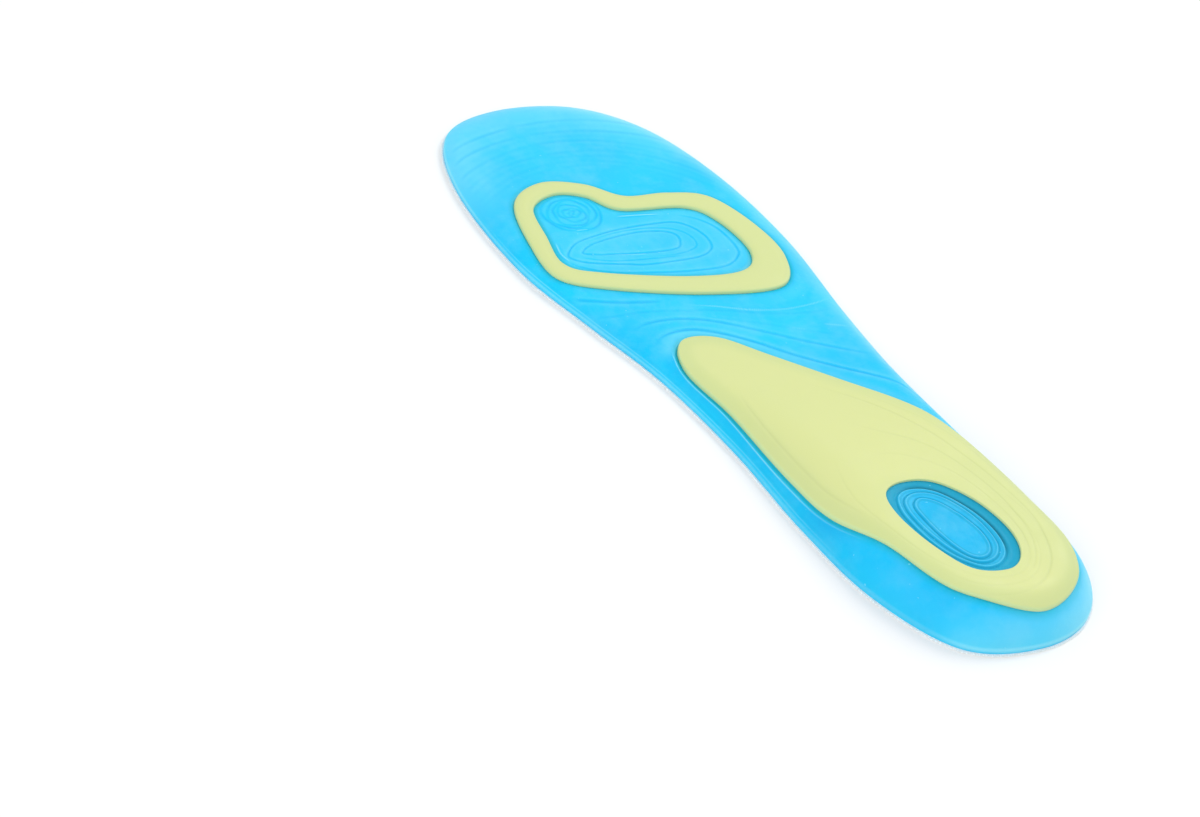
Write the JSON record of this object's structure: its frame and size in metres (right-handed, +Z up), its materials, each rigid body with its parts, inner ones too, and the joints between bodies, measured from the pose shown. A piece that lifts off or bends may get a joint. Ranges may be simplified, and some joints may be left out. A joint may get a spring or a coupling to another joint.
{
  "type": "cushioned insole",
  "caption": "Full-length gel shoe insole with a firmer arch and heel support, a ring under the ball of the foot and a soft stepped heel pad.",
  "frame": {"origin": "middle of the length and width, on the floor that the cloth side rests on", "axes": "+Y from heel to toe, +X towards the outer side of a left foot, +Z up, out of the gel side"},
  "size_m": [0.089, 0.2651, 0.0141],
  "materials": {
    "cloth": "matt knit",
    "film": "thin satin film",
    "blue_gel": "satin translucent gel",
    "lime_support": "matt firm gel",
    "lime_ring": "satin firm gel",
    "ball_gel": "satin translucent gel",
    "heel_gel": "matt soft gel"
  },
  "bodies": {
    "root": {"top_cloth": "cloth", "film_backing": "film", "gel_body": "blue_gel", "arch_heel_support": "lime_support", "ball_ring": "lime_ring", "ball_cushion": "ball_gel", "heel_cushion": "heel_gel"}
  },
  "joints": []
}
